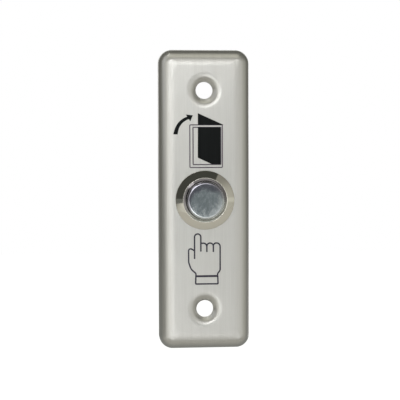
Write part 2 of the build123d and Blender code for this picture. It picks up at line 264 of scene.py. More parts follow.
def pressed_bend(radius, lean, soft_end, steps):
    """(run, drop, slope) down the front of a bend.

    A parabola starts flat and reaches a slope of t over the length of the soft end, L, so it drops by
    L tan t / 2. An arc of radius R goes on to the lean: at a slope of s it is R (sin s - sin t) along and
    R (cos t - cos s) down.
    """
    share = np.linspace(0, 1, 15)
    fall = soft_end * math.tan(SOFT_SLOPE) / 2
    tail = [soft_end * share, fall * share**2, np.arctan(math.tan(SOFT_SLOPE) * share)]
    slope = np.linspace(SOFT_SLOPE, lean, steps)[1:]
    arc = [
        soft_end + radius * (np.sin(slope) - math.sin(SOFT_SLOPE)),
        fall + radius * (math.cos(SOFT_SLOPE) - np.cos(slope)),
        slope,
    ]
    return np.concatenate([tail, arc], axis=1)


def roll_section():
    """(inset, height) round the sheet's edge: the flat's front, the roll, the cut edge and the flat's back.

    The bend's radius is what the soft end leaves of the height: (rise - L tan t / 2) / cos t. The back is the
    front moved a sheet along its normal. The second result is the inset at which the roll's arc ends.
    """
    rise = FACE_Z - ROLL_START_Z - ROLL_SOFT_END * math.tan(SOFT_SLOPE) / 2
    radius = rise / math.cos(SOFT_SLOPE)
    run, drop, slope = pressed_bend(radius, math.pi / 2, ROLL_SOFT_END, 29)
    inset, height = run[-1] - run, FACE_Z - drop
    front = np.stack([inset, height], axis=-1)
    back = np.stack([inset + SHEET * np.sin(slope), height - SHEET * np.cos(slope)], axis=-1)[::-1]
    edge = rounded_path([(0, ROLL_START_Z), (0, 0), (SHEET, 0), (SHEET, ROLL_START_Z)], [CUT_EDGE, CUT_EDGE])
    return np.concatenate([front, edge[1:-1], back]), run[-1] - ROLL_SOFT_END


ROLL_SECTION, ARC_INSET = roll_section()


def face_height(x):
    """Height of the plate's front where it is x from the middle, along its long sides."""
    front = ROLL_SECTION[: len(ROLL_SECTION) // 3]
    return np.interp(HALF_WIDTH - np.abs(x), front[::-1, 0], front[::-1, 1])


def half_outline(inset):
    """Half of the plate's outline at each inset, and how many of its points lie between the two right seams.

    It runs anticlockwise from the right side's lower seam to the left side's upper one. The corner radius
    falls with the inset, one for one, up to the end of the roll's arc, and then grows a little.
    """
    inset = np.asarray(inset, float)[:, None]
    least = OUTER_CORNER - ARC_INSET
    radius = np.where(inset < ARC_INSET, OUTER_CORNER - inset, least + CORNER_SPREAD * (inset - ARC_INSET))
    side, top = HALF_WIDTH - inset, HALF_HEIGHT - inset
    middle_x, middle_y = side - radius, top - radius
    flat = np.zeros_like(inset)
    up, mid, across, bend = spaced(44), spaced(64), spaced(32), spaced(18) * math.pi / 2
    runs = [
        (side + flat * mid, flat + SEAM_Y * (2 * mid - 1)),
        (side + flat * up, SEAM_Y + (middle_y - SEAM_Y) * up),
        (middle_x + radius * np.cos(bend), middle_y + radius * np.sin(bend)),
        (middle_x * (1 - 2 * across), top + flat * across),
        (-middle_x - radius * np.sin(bend), middle_y + radius * np.cos(bend)),
        (-side + flat * up, middle_y + (SEAM_Y - middle_y) * up),
    ]
    return np.concatenate([np.stack(run, axis=-1) for run in runs], axis=1), len(mid)


def cell_grid(loop, centre, circle, rim):
    """Sheet between a closed loop and a round hole in it.

    Rings are drawn in from the loop to the circle in front, then comes the rim's (radius, height) profile
    round the hole, then the same rings behind.
    """
    centre = np.asarray(centre, float)
    out = (loop - centre) / np.linalg.norm(loop - centre, axis=1, keepdims=True)
    share = np.linspace(0, 1, 8)[:, None, None]
    rings = loop + (centre + circle * out - loop) * share
    flat = np.ones(rings.shape[:2] + (1,))
    front = np.concatenate([rings, flat * FACE_Z], axis=-1)
    back = np.concatenate([rings, flat * (FACE_Z - SHEET)], axis=-1)[::-1]
    radius, height = rim[:, None, :].transpose(2, 0, 1)
    level = (height + 0 * out[:, 0])[..., None]
    wall = np.concatenate([centre + radius[..., None] * out, level], axis=-1)
    return np.concatenate([front, wall, back])


def dimple_rim():
    """(radius, height) down the dish round a screw hole: the bend, a straight wall, and back under it."""
    run, drop, slope = pressed_bend(DIMPLE_LIP, DIMPLE_LEAN, DIMPLE_SOFT_END, 15)
    radius, height = DIMPLE_RADIUS - run, FACE_Z - drop
    front = np.stack([radius, height], axis=-1)
    back = np.stack([radius + SHEET * np.sin(slope), height - SHEET * np.cos(slope)], axis=-1)
    fall = math.tan(DIMPLE_LEAN)
    ends = [(HOLE_RADIUS, bend[-1, 1] - (bend[-1, 0] - HOLE_RADIUS) * fall) for bend in (front, back)]
    edge = rounded_path([front[-1], ends[0], ends[1], back[-1]], [CUT_EDGE, CUT_EDGE])
    return np.concatenate([front[:-1], edge, back[::-1][1:]])


def pressed_plate():
    """Grids of the whole plate: the rolled rim, and three cells with a hole each within its inner loop."""
    inset, height = ROLL_SECTION.T
    half, mid = half_outline(inset)
    outline = np.concatenate([half, -half], axis=1)
    level = np.broadcast_to(height[:, None, None], outline.shape[:2] + (1,))
    rim = np.concatenate([outline, level], axis=-1)
    inner = half[0]
    side = inner[0, 0]
    seam_x = side * (2 * spaced(40) - 1)
    seam = np.stack([seam_x, np.full_like(seam_x, SEAM_Y)], axis=-1)
    upper = np.concatenate([inner[mid:], seam])
    side_run = inner[:mid]
    middle_half = np.concatenate([side_run, seam * (-1, 1)])
    middle = np.concatenate([middle_half, -middle_half])
    hole = dimple_rim()
    switch_hole = rounded_path(
        [(SWITCH_HOLE_RADIUS + CUT_EDGE, FACE_Z), (SWITCH_HOLE_RADIUS, FACE_Z),
         (SWITCH_HOLE_RADIUS, FACE_Z - SHEET), (SWITCH_HOLE_RADIUS + CUT_EDGE, FACE_Z - SHEET)],
        [CUT_EDGE / 2, CUT_EDGE / 2],
    )
    return [
        rim,
        cell_grid(upper, (0, HOLE_Y), DIMPLE_RADIUS, hole),
        cell_grid(-upper, (0, -HOLE_Y), DIMPLE_RADIUS, hole),
        cell_grid(middle, (0, 0), SWITCH_HOLE_RADIUS + CUT_EDGE, switch_hole),
    ]


# Switch

def threaded_body():
    """Turned body: flange, bevel, a small lip in the mouth of the bore, the web with its guide, the barrel.

    On the barrel the radius falls with the thread: r - d w(z) f(z / pitch - a / 2 pi). f is a flat-topped
    wave of one cycle, and w fades the thread out at both of its ends.
    """
    corners = [
        (BARREL_RADIUS, FLANGE_Z), (FLANGE_RADIUS, FLANGE_Z), (FLANGE_RADIUS, BEVEL_Z),
        (CREST_RADIUS, CREST_Z), (LIP_RADIUS, LIP_Z), (LIP_RADIUS, LIP_UNDER_Z),
        (BORE_RADIUS, LIP_UNDER_Z - BORE_RADIUS + LIP_RADIUS),
        (BORE_RADIUS, WEB_TOP_Z), (GUIDE_RADIUS, WEB_TOP_Z), (GUIDE_RADIUS, WEB_BOTTOM_Z),
        (SOCKET_RADIUS, WEB_BOTTOM_Z), (SOCKET_RADIUS, BARREL_END_Z),
        (BARREL_RADIUS - BARREL_CHAMFER, BARREL_END_Z), (BARREL_RADIUS, BARREL_END_Z + BARREL_CHAMFER),
    ]
    head = rounded_path(corners, BODY_ROUNDS)
    height = np.linspace(BARREL_END_Z + BARREL_CHAMFER, FLANGE_Z, 132)[1:]
    barrel = np.stack([np.full_like(height, BARREL_RADIUS), height], axis=-1)
    grid = turned(np.concatenate([head, barrel]))
    angle = FULL_TURN * spaced(grid.shape[1])
    cycle = (height[:, None] / THREAD_PITCH - angle / FULL_TURN) % 1.0
    wave = np.clip((np.abs(2 * cycle - 1) - THREAD_CREST) / THREAD_FLANK, 0, 1)
    fade = np.clip((height - height[0]) / THREAD_START, 0, 1) * np.clip((FACE_Z - height) / THREAD_END, 0, 1)
    radius = 1 - THREAD_DEPTH * fade[:, None] * wave / BARREL_RADIUS
    grid[len(head):, :, :2] *= radius[..., None]
    return [grid]


def polished_cap():
    """Turned cap: rounded head, seal groove and spring pocket, and the stem with clip groove and spigot."""
    corners = [
        (0, CAP_TOP_Z), (CAP_RADIUS, CAP_TOP_Z),
        (CAP_RADIUS, SEAL_Z + GROOVE_HALF), (GROOVE_RADIUS, SEAL_Z + GROOVE_HALF),
        (GROOVE_RADIUS, SEAL_Z - GROOVE_HALF), (CAP_RADIUS, SEAL_Z - GROOVE_HALF),
        (CAP_RADIUS, CAP_BOTTOM_Z), (POCKET_RADIUS, CAP_BOTTOM_Z),
        (POCKET_RADIUS, POCKET_Z), (STEM_RADIUS, POCKET_Z),
        (STEM_RADIUS, CLIP_TOP_Z), (CLIP_GROOVE_RADIUS, CLIP_TOP_Z),
        (CLIP_GROOVE_RADIUS, CLIP_BOTTOM_Z), (STEM_RADIUS, CLIP_BOTTOM_Z),
        (STEM_RADIUS, STEM_END_Z), (SPIGOT_RADIUS, STEM_END_Z),
        (SPIGOT_RADIUS, SPIGOT_END_Z), (0, SPIGOT_END_Z),
    ]
    small = SMALL_ROUND
    pocket = POCKET_ROUND
    rounds = [
        CAP_ROUND, small, 0, 0, small, small, small, pocket,
        pocket, small, 0, 0, small, small, 0, small,
    ]
    return [turned(rounded_path(corners, rounds, 8))]


def hexagon_nut():
    """Nut whose outer radius at angle a is apothem / cos(a mod 60 - 30), with chamfers over its corners."""
    angle = FULL_TURN * spaced(180)
    outer = NUT_APOTHEM / np.cos(angle % (math.pi / 3) - math.pi / 6)
    corner = NUT_APOTHEM / math.cos(math.pi / 6)
    waist = corner - 2 * NUT_CHAMFER
    drop = NUT_CHAMFER * np.clip((outer - waist) / (corner - waist), 0, 1)
    still = 0 * angle
    rows = []
    for face, sign in ((NUT_TOP_Z, -1), (NUT_BOTTOM_Z, 1)):
        half = [
            (NUT_BORE + still, face + sign * NUT_LEAD + still),
            (NUT_BORE + NUT_LEAD + still, face + still),
            (np.minimum(outer, waist), face + still),
            (outer, face + sign * drop),
        ]
        rows += half if sign < 0 else half[::-1]
    rows.append(rows[0])
    radius, height = np.array(rows).transpose(1, 0, 2)
    return [np.stack([radius * np.cos(angle), radius * np.sin(angle), height], axis=-1)]


def wound_wire(diameter, wire, turns, low, high):
    """Coil spring: a circle of the wire's section carried along a helix that rises slowly in its end turns.

    At angle a the centre is (R cos a, R sin a, z(a)), and a point at angle b of the section is a wire radius
    away along cos b outwards and sin b upwards. The ends close to their centres.
    """
    half_wire = wire / 2
    turn = np.linspace(0, turns, round(turns * 56) + 1)
    rise = high - low - wire
    dead = wire * CLOSED_TURNS
    level = np.interp(turn, [0, CLOSED_TURNS, turns - CLOSED_TURNS, turns], [0, dead, rise - dead, rise])
    soft = np.ones(9) / 9
    level = np.convolve(np.pad(level, 4, mode="edge"), soft, mode="valid")
    level = low + half_wire + (level - level[0]) * rise / (level[-1] - level[0])
    angle = FULL_TURN * turn
    around = FULL_TURN * spaced(16)
    swell = np.ones(len(turn))
    swell[[0, -1]] = 0
    reach = half_wire * swell[:, None]
    radius = diameter / 2 - half_wire + reach * np.cos(around)
    height = level[:, None] + reach * np.sin(around)
    return [np.stack([radius * np.cos(angle[:, None]), radius * np.sin(angle[:, None]), height], axis=-1)]


# Printed signs

def ink_slab(left, right, lift, across=4):
    """Film of ink between two edges of as many points: it lies on the face, its root a little below it.

    Each row runs from the left edge to the right one on top and back underneath, and both ends are closed.
    """
    share = np.linspace(0, 1, across)[:, None, None]
    flat = (left + (right - left) * share).transpose(1, 0, 2)
    ground = face_height(flat[..., 0])[..., None]
    top = np.concatenate([flat, ground + INK_RISE + lift], axis=-1)
    root = np.concatenate([flat, ground - INK_ROOT], axis=-1)
    rows = np.concatenate([top, root[:, ::-1]], axis=1)
    ends = np.concatenate([root, root[:, ::-1]], axis=1)
    return np.concatenate([ends[:1], rows, ends[-1:]])


def ink_line(path, width, lift):
    """Drawn line: at each point of the path the edges stand half a width away, along the corner's mitre."""
    path = np.asarray(path, float)
    gap = np.linalg.norm(np.diff(path, axis=0), axis=1)
    path = path[np.concatenate([[True], gap > 1e-4])]
    way = np.diff(path, axis=0)
    way /= np.linalg.norm(way, axis=1, keepdims=True)
    before, after = np.concatenate([way[:1], way]), np.concatenate([way, way[-1:]])
    mitre = before + after
    mitre /= (mitre * after).sum(1, keepdims=True)
    normal = np.stack([-mitre[:, 1], mitre[:, 0]], axis=-1)
    return ink_slab(path + normal * width / 2, path - normal * width / 2, lift)


def frame_line(left, bottom, right, top, width, corner, lift):
    """Closed rectangle drawn from the middle of its lower side."""
    middle = (left + right) / 2
    corners = [(middle, bottom), (right, bottom), (right, top), (left, top), (left, bottom), (middle, bottom)]
    return ink_line(rounded_path(corners, [corner] * 4, 4), width, lift)


def bend_through(start, middle, end):
    """Curve through three points: start (1-t)(1-2t) + middle 4t(1-t) + end t(2t-1)."""
    t = np.linspace(0, 1, EDGE_POINTS)[:, None]
    start, middle, end = (np.asarray(p, float) for p in (start, middle, end))
    return start * (1 - t) * (1 - 2 * t) + middle * 4 * t * (1 - t) + end * t * (2 * t - 1)


def between(start, end, count=EDGE_POINTS):
    """Straight run of points."""
    return np.linspace(start, end, count)


def door_leaf():
    """Solid leaf of the open door, above and below the frame's top bar, and the arrow that swings it."""
    upper = ink_slab(between((-2.05, 26.5), (5.72, 23.0)), between((-2.05, 22.9), (5.72, 22.9)), 0.004, 12)
    slanted, level = between((-2.12, 12.95), (2.2, 10.95), 20), between((2.3, 10.9), (4.88, 10.9), 16)
    lower_edge = np.concatenate([slanted, level])
    upper_edge = np.stack([np.maximum(lower_edge[:, 0], -2.05), np.full(len(lower_edge), 22.22)], axis=-1)
    lower = ink_slab(upper_edge, lower_edge, 0.004, 20)
    shaft = ink_slab(
        bend_through((-9.58, 20.06), (-8.02, 23.62), (-5.1, 25.52)),
        bend_through((-8.2, 20.06), (-7.22, 22.95), (-4.65, 24.8)),
        0.002,
        6,
    )
    head = ink_slab(between((-5.7, 26.1), (-3.62, 25.86)), between((-4.38, 24.02), (-3.58, 25.84)), 0.006, 6)
    return [upper, lower, shaft, head]


def door_frame():
    """Two thin rectangles, one in the other, that stand for the door's frame."""
    return [
        frame_line(-4.52, 9.95, 5.42, 22.95, HAIRLINE, 0.25, 0.0),
        frame_line(-3.55, 10.85, 4.95, 22.2, HAIRLINE, 0.2, 0.002),
    ]


def pointing_hand():
    """Outline of a hand whose raised finger points at the button, with a cuff."""
    finger = rounded_path(
        [(-3.22, -18.04), (-3.22, -10.38), (-1.28, -10.38), (-1.28, -15.78)],
        [0.96, 0.96], 12,
    )
    first = rounded_path([(-1.28, -13.25), (0.56, -13.2), (0.56, -15.95)], [1.05], 10)
    second = rounded_path([(0.56, -14.4), (0.56, -13.2), (2.56, -13.2), (2.56, -15.95)], [0.98, 0.98], 10)
    third = rounded_path(
        [(2.56, -14.4), (2.56, -13.2), (4.66, -13.2), (4.64, -21.6), (3.86, -22.6), (3.86, -23.4)],
        [0.9, 1.1, 1.2, 0.6], 10,
    )
    thumb = rounded_path(
        [(-3.22, -15.5), (-5.06, -14.5), (-5.04, -19.1), (-4.3, -21.2), (-2.82, -22.5), (-2.82, -23.4)],
        [0.62, 2.1, 2.1, 0.6], 12,
    )
    cuff = rounded_path([(-2.84, -23.3), (-2.92, -25.74), (3.98, -25.76), (3.88, -23.3)], [0.2, 0.2], 4)
    band = between((-2.83, -23.36), (3.86, -23.36))
    lines = [finger, first, second, third, thumb, cuff]
    drawn = [ink_line(path, HAND_LINE, 0.001 * number) for number, path in enumerate(lines)]
    return drawn + [ink_line(band, CUFF_LINE, 0.008)]


# Materials

def node(tree, kind, inputs, **settings):
    """Shader node with its settings, its inputs being values or other nodes' outputs by name or number."""
    made = tree.nodes.new(kind)
    for key, value in settings.items():
        setattr(made, key, value)
    for key, value in inputs.items():
        if isinstance(value, bpy.types.NodeSocket):
            tree.links.new(value, made.inputs[key])
        else:
            made.inputs[key].default_value = value
    return made


def math_node(tree, operation, a, b=0.0, clamp=False):
    """Result of one arithmetic operation on two values, kept within 0 and 1 if clamped."""
    return node(tree, "ShaderNodeMath", {0: a, 1: b}, operation=operation, use_clamp=clamp).outputs[0]


def ramp(tree, value, low, high, to_low=0.0, to_high=1.0):
    """Value taken from one range to another, eased at both ends."""
    inputs = {"Value": value, "From Min": low, "From Max": high, "To Min": to_low, "To Max": to_high}
    return node(tree, "ShaderNodeMapRange", inputs, interpolation_type="SMOOTHSTEP").outputs[0]


def mixed(tree, share, a, b):
    """Colour between two others."""
    return node(tree, "ShaderNodeMix", {"Factor": share, "A": a, "B": b}, data_type="RGBA").outputs[2]


def effect(name, inputs, outputs):
    """Empty node group with named number inputs and their defaults, and named outputs."""
    tree = bpy.data.node_groups.new(name, "ShaderNodeTree")
    for label, value in inputs.items():
        tree.interface.new_socket(label, in_out="INPUT", socket_type="NodeSocketFloat").default_value = value
    for label in outputs:
        tree.interface.new_socket(label, in_out="OUTPUT", socket_type="NodeSocketFloat")
    return tree, tree.nodes.new("NodeGroupInput").outputs, tree.nodes.new("NodeGroupOutput").inputs


def stretched(tree, across, depth, along):
    """Object coordinates multiplied by the three densities, per metre."""
    place_at = tree.nodes.new("ShaderNodeTexCoord").outputs["Object"]
    density = node(tree, "ShaderNodeCombineXYZ", {0: across, 1: depth, 2: along}).outputs[0]
    return node(tree, "ShaderNodeVectorMath", {0: place_at, 1: density}, operation="MULTIPLY").outputs[0]


def noise(tree, vector, detail, roughness):
    """Noise from 0 to 1 at a vector."""
    inputs = {"Vector": vector, "Scale": 1.0, "Detail": detail, "Roughness": roughness}
    return node(tree, "ShaderNodeTexNoise", inputs).outputs["Fac"]


def grain_effect():
    """Brush strokes along the height of the plate: fine hairs, and broad bands of them."""
    densities = {"Hairs": 5200.0, "Bands": 520.0, "Length": 55.0}
    tree, given, result = effect("brush grain", densities, ["Shade", "Height"])
    depth = math_node(tree, "MULTIPLY", given["Hairs"], 0.35)
    hairs = noise(tree, stretched(tree, given["Hairs"], depth, given["Length"]), 3.0, 0.65)
    band_length = math_node(tree, "MULTIPLY", given["Length"], 0.35)
    bands = noise(tree, stretched(tree, given["Bands"], given["Bands"], band_length), 2.0, 0.6)
    tree.links.new(ramp(tree, hairs, 0.28, 0.72), result["Height"])
    hair_share = math_node(tree, "MULTIPLY", hairs, 0.6)
    both = math_node(tree, "ADD", hair_share, math_node(tree, "MULTIPLY", bands, 0.4))
    tree.links.new(ramp(tree, both, 0.36, 0.64), result["Shade"])
    return tree


def smudge_effect():
    """Soft patches left by handling, at the given density per metre."""
    tree, given, result = effect("handling smudges", {"Density": 150.0}, ["Mask"])
    vector = stretched(tree, given["Density"], given["Density"], given["Density"])
    tree.links.new(ramp(tree, noise(tree, vector, 3.0, 0.55), 0.4, 0.68), result["Mask"])
    return tree


def wear_effect():
    """Rubbed edges: convex places, broken up by fine noise."""
    tree, given, result = effect("edge wear", {"Start": 0.52, "Full": 0.6}, ["Mask"])
    convex = tree.nodes.new("ShaderNodeNewGeometry").outputs["Pointiness"]
    chips = noise(tree, stretched(tree, 1400.0, 1400.0, 1400.0), 3.0, 0.6)
    limits = {"Value": convex, "From Min": given["Start"], "From Max": given["Full"]}
    rubbed = node(tree, "ShaderNodeMapRange", limits)
    mask = math_node(tree, "MULTIPLY", rubbed.outputs[0], ramp(tree, chips, 0.35, 0.6))
    tree.links.new(mask, result["Mask"])
    return tree


def turning_effect():
    """Rings left by the lathe: noise over the distance from the y axis."""
    tree, given, result = effect("turning marks", {"Rings": 9000.0}, ["Height"])
    place_at = tree.nodes.new("ShaderNodeTexCoord").outputs["Object"]
    across = node(tree, "ShaderNodeVectorMath", {0: place_at, 1: (1, 0, 1)}, operation="MULTIPLY").outputs[0]
    radius = node(tree, "ShaderNodeVectorMath", {0: across}, operation="LENGTH").outputs["Value"]
    depth = node(tree, "ShaderNodeSeparateXYZ", {0: place_at}).outputs[1]
    run = math_node(tree, "ADD", radius, depth)
    rings = node(
        tree, "ShaderNodeTexNoise", {"W": math_node(tree, "MULTIPLY", run, given["Rings"]), "Detail": 2.0},
        noise_dimensions="1D",
    )
    tree.links.new(rings.outputs["Fac"], result["Height"])
    return tree


GRAIN, SMUDGES, WEAR, TURNING = grain_effect(), smudge_effect(), wear_effect(), turning_effect()

# Painted reflection on the cap, in metres: the way in which its painted sheen gets paler, with its rate, the
# middle of its painted bright part, and the distances from there at which its painted dark patch starts and
# is full
CAP_PAINTED_SHEEN_LEAN = (60.0, 0, -60.0)
CAP_PAINTED_BRIGHT_MIDDLE = (0.0006, 0, -0.0022)
CAP_PAINTED_DARK_FROM = 0.0049
CAP_PAINTED_DARK_FULL = 0.0063


def placed(tree, group, output, inputs=()):
    """One output of an effect, placed in a material with its own values."""
    made = tree.nodes.new("ShaderNodeGroup")
    made.node_tree = group
    for key, value in dict(inputs).items():
        made.inputs[key].default_value = value
    return made.outputs[output]


def material(name, metallic):
    """Material with one principled shader, and its tree and shader."""
    made = bpy.data.materials.new(name)
    made.use_nodes = True
    tree = made.node_tree
    shader = tree.nodes["Principled BSDF"]
    shader.inputs["Metallic"].default_value = metallic
    return made, tree, shader


def relief(tree, shader, height, distance):
    """Bump of the given depth in metres on the shader's normal."""
    bump = node(tree, "ShaderNodeBump", {"Height": height, "Distance": distance})
    tree.links.new(bump.outputs[0], shader.inputs["Normal"])


def brushed_steel():
    """Stainless sheet, brushed along its length, with faint smudges."""
    made, tree, shader = material("brushed stainless steel", 1.0)
    shade = placed(tree, GRAIN, "Shade")
    height = placed(tree, GRAIN, "Height")
    smudge = placed(tree, SMUDGES, "Mask")
    colour = mixed(tree, shade, (0.58, 0.575, 0.55, 1), (0.62, 0.615, 0.59, 1))
    tree.links.new(colour, shader.inputs["Base Color"])
    brushed = ramp(tree, shade, 0, 1, 0.33, 0.29)
    rough = math_node(tree, "ADD", brushed, math_node(tree, "MULTIPLY", smudge, 0.02))
    tree.links.new(rough, shader.inputs["Roughness"])
    relief(tree, shader, height, 0.000008)
    return made


def metal(name, light, dark, smooth, rough, density, rings=0.0, worn=None, depth=0.000001):
    """Metal whose colour and gloss vary with smudges, with rubbed edges and lathe marks where asked."""
    made, tree, shader = material(name, 1.0)
    smudge = placed(tree, SMUDGES, "Mask", {"Density": density})
    colour = mixed(tree, smudge, light + (1,), dark + (1,))
    gloss = ramp(tree, smudge, 0, 1, smooth, rough)
    if worn:
        edges = placed(tree, WEAR, "Mask")
        colour = mixed(tree, edges, colour, worn + (1,))
        gloss = math_node(tree, "MULTIPLY", gloss, ramp(tree, edges, 0, 1, 1.0, 0.75))
    tree.links.new(colour, shader.inputs["Base Color"])
    tree.links.new(gloss, shader.inputs["Roughness"])
    if rings:
        relief(tree, shader, placed(tree, TURNING, "Height", {"Rings": rings}), depth)
    else:
        fine = noise(tree, stretched(tree, 2500.0, 2500.0, 2500.0), 3.0, 0.6)
        relief(tree, shader, fine, depth)
    return made


def mottled_cap_painted_reflection():
    """Polished steel head with painted reflection: bluish cloudy mottle, a dark patch by its upper rim, paler
    to its lower right.
    """
    made, tree, shader = material("polished cap steel with painted reflection", 1.0)
    place_at = tree.nodes.new("ShaderNodeTexCoord").outputs["Object"]
    coarse = noise(tree, stretched(tree, 300.0, 300.0, 300.0), 2.0, 0.5)
    fine = noise(tree, stretched(tree, 1100.0, 1100.0, 750.0), 3.0, 0.6)
    # Painted sheen: the cap's colour is pushed paler towards its lower right
    painted_sheen_leaning = node(tree, "ShaderNodeVectorMath", {0: place_at, 1: CAP_PAINTED_SHEEN_LEAN}, operation="DOT_PRODUCT")
    lean = painted_sheen_leaning.outputs["Value"]
    # Painted reflection: a bluish cloudy mottle from the two noises, with the painted sheen added
    painted_mottle = math_node(tree, "MULTIPLY", coarse, 0.55)
    shade = math_node(tree, "ADD", painted_mottle, math_node(tree, "MULTIPLY", fine, 0.45))
    shade = math_node(tree, "ADD", shade, math_node(tree, "MULTIPLY", lean, 0.1))
    colour = mixed(tree, ramp(tree, shade, 0.28, 0.72), (0.62, 0.665, 0.685, 1), (0.78, 0.825, 0.845, 1))
    # Painted dark reflection: a lilac-grey patch painted over the upper rim, away from the painted bright
    # middle
    flat = node(tree, "ShaderNodeVectorMath", {0: place_at, 1: (1, 0, 1)}, operation="MULTIPLY").outputs[0]
    off_painted_middle = node(tree, "ShaderNodeVectorMath", {0: flat, 1: CAP_PAINTED_BRIGHT_MIDDLE}, operation="DISTANCE")
    ragged = math_node(tree, "MULTIPLY", math_node(tree, "SUBTRACT", coarse, 0.5), 0.003)
    far = math_node(tree, "ADD", off_painted_middle.outputs["Value"], ragged)
    shadow = ramp(tree, far, CAP_PAINTED_DARK_FROM, CAP_PAINTED_DARK_FULL, 0.0, 0.95)
    colour = mixed(tree, shadow, colour, (0.33, 0.32, 0.37, 1))
    tree.links.new(colour, shader.inputs["Base Color"])
    tree.links.new(ramp(tree, fine, 0.3, 0.7, 0.09, 0.15), shader.inputs["Roughness"])
    relief(tree, shader, fine, 0.000002)
    return made


def moulding(name, light, dark, smooth, rough, depth=0.000008, worn=None):
    """Moulded plastic or rubber: fine skin, patches of gloss, and paler rubbed edges where asked."""
    made, tree, shader = material(name, 0.0)
    patches = placed(tree, SMUDGES, "Mask", {"Density": 260.0})
    colour = mixed(tree, patches, dark + (1,), light + (1,))
    if worn:
        colour = mixed(tree, placed(tree, WEAR, "Mask"), colour, worn + (1,))
    tree.links.new(colour, shader.inputs["Base Color"])
    tree.links.new(ramp(tree, patches, 0, 1, smooth, rough), shader.inputs["Roughness"])
    skin = noise(tree, stretched(tree, 3800.0, 3800.0, 3800.0), 3.0, 0.6)
    relief(tree, shader, skin, depth)
    return made


def ink(name, colour):
    """Printed enamel: one colour, thinned a little where the brushed grain shows through."""
    made, tree, shader = material(name, 0.0)
    shader.inputs["Specular IOR Level"].default_value = 0.12
    shade = placed(tree, GRAIN, "Shade")
    lighter = tuple(min(1.0, c * 1.5 + 0.004) for c in colour)
    tree.links.new(mixed(tree, shade, colour + (1,), lighter + (1,)), shader.inputs["Base Color"])
    tree.links.new(ramp(tree, shade, 0, 1, 0.5, 0.62), shader.inputs["Roughness"])
    return made


STEEL = brushed_steel()
PAINTED_CAP_STEEL = mottled_cap_painted_reflection()
NICKEL = metal("polished nickel plate", (0.8, 0.775, 0.705), (0.75, 0.725, 0.66), 0.06, 0.1, 90.0)
NUT_PLATE = metal(
    "nickel-plated brass", (0.62, 0.6, 0.54), (0.5, 0.48, 0.43), 0.2, 0.34, 300.0,
    rings=7000.0, worn=(0.78, 0.75, 0.68),
)
SPRING_STEEL = metal("bright spring steel", (0.6, 0.6, 0.61), (0.45, 0.45, 0.47), 0.16, 0.3, 500.0)
BRASS = metal(
    "rolled brass", (0.76, 0.58, 0.3), (0.6, 0.42, 0.2), 0.24, 0.4, 320.0,
    worn=(0.86, 0.7, 0.4), depth=0.000002,
)
ZINC = metal(
    "zinc plate", (0.68, 0.69, 0.71), (0.52, 0.53, 0.56), 0.22, 0.4, 420.0,
    rings=8000.0, worn=(0.8, 0.8, 0.82),
)
SILVER = metal("fine silver", (0.86, 0.85, 0.82), (0.68, 0.66, 0.62), 0.16, 0.32, 500.0)
RUBBER = moulding("black rubber", (0.03, 0.03, 0.03), (0.016, 0.016, 0.016), 0.62, 0.8)
PHENOLIC = moulding(
    "black phenolic", (0.04, 0.038, 0.036), (0.02, 0.019, 0.019), 0.36, 0.52,
    depth=0.00001, worn=(0.085, 0.08, 0.075),
)
NYLON = moulding("white nylon", (0.8, 0.785, 0.74), (0.7, 0.685, 0.63), 0.42, 0.55)
BLACK_INK = ink("black ink", (0.003, 0.0042, 0.0045))
LINE_INK = ink("violet grey ink", (0.04, 0.037, 0.052))
FRAME_INK = ink("pale violet grey ink", (0.105, 0.09, 0.108))


# Pieces

def softened(node_name, finish, body, edge=SOFT_EDGE):
    """Piece with a CAD node's own shape.

    Its triangles are merged and joined into flat faces, and every sharp edge is given a small round.
    """
    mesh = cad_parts[node_name].data.copy()
    work = bmesh.new()
    work.from_mesh(mesh)
    bmesh.ops.remove_doubles(work, verts=work.verts, dist=MERGE_DISTANCE)
    bmesh.ops.dissolve_limit(work, angle_limit=math.radians(FLAT_ANGLE), verts=work.verts, edges=work.edges)
    work.to_mesh(mesh)
    work.free()
    made = place(node_name + "_finished", mesh, finish, body, [node_name], SOFTENED_CREASE)
    bevel = made.modifiers.new("edge round", "BEVEL")
    bevel.width = edge * MM
    bevel.segments = 2
    bevel.limit_method = "ANGLE"
    bevel.angle_limit = math.radians(SOFTENED_CREASE)
    bevel.harden_normals = True


place(
    "pressed_plate", mesh_of("pressed_plate", pressed_plate()),
    STEEL, "housing", ["face_plate"],
)
place(
    "threaded_body", mesh_of("threaded_body", threaded_body()),
    NICKEL, "housing", ["switch_body"],
)
place(
    "polished_head", mesh_of("polished_head", polished_cap()),
    PAINTED_CAP_STEEL, "button", ["button_cap"],
)
place(
    "hexagon_nut", mesh_of("hexagon_nut", hexagon_nut()),
    NUT_PLATE, "housing", ["mounting_nut"], NUT_CREASE,
)

place("printed_leaf", mesh_of("printed_leaf", door_leaf()), BLACK_INK, "housing")
place("printed_frame", mesh_of("printed_frame", door_frame()), FRAME_INK, "housing")
place("printed_hand", mesh_of("printed_hand", pointing_hand()), LINE_INK, "housing")

return_wire = wound_wire(RETURN_DIAMETER, RETURN_WIRE, RETURN_TURNS, WEB_TOP_Z, POCKET_Z)
return_coil = place(
    "return_coil", mesh_of("return_coil", return_wire),
    SPRING_STEEL, "housing", ["return_spring"],
)
contact_wire = wound_wire(CONTACT_DIAMETER, CONTACT_WIRE, CONTACT_TURNS, CONTACT_LOW_Z, CONTACT_HIGH_Z)
contact_coil = place(
    "contact_coil", mesh_of("contact_coil", contact_wire),
    SPRING_STEEL, "button", ["contact_spring"],
)
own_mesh(return_coil)
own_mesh(contact_coil)

softened("contact_base", PHENOLIC, "housing", BASE_EDGE)
for side in ("left", "right"):
    softened(side + "_terminal", BRASS, "housing")
    softened(side + "_wire_clamp", ZINC, "housing")
    softened(side + "_terminal_screw", ZINC, "housing", SCREW_EDGE)

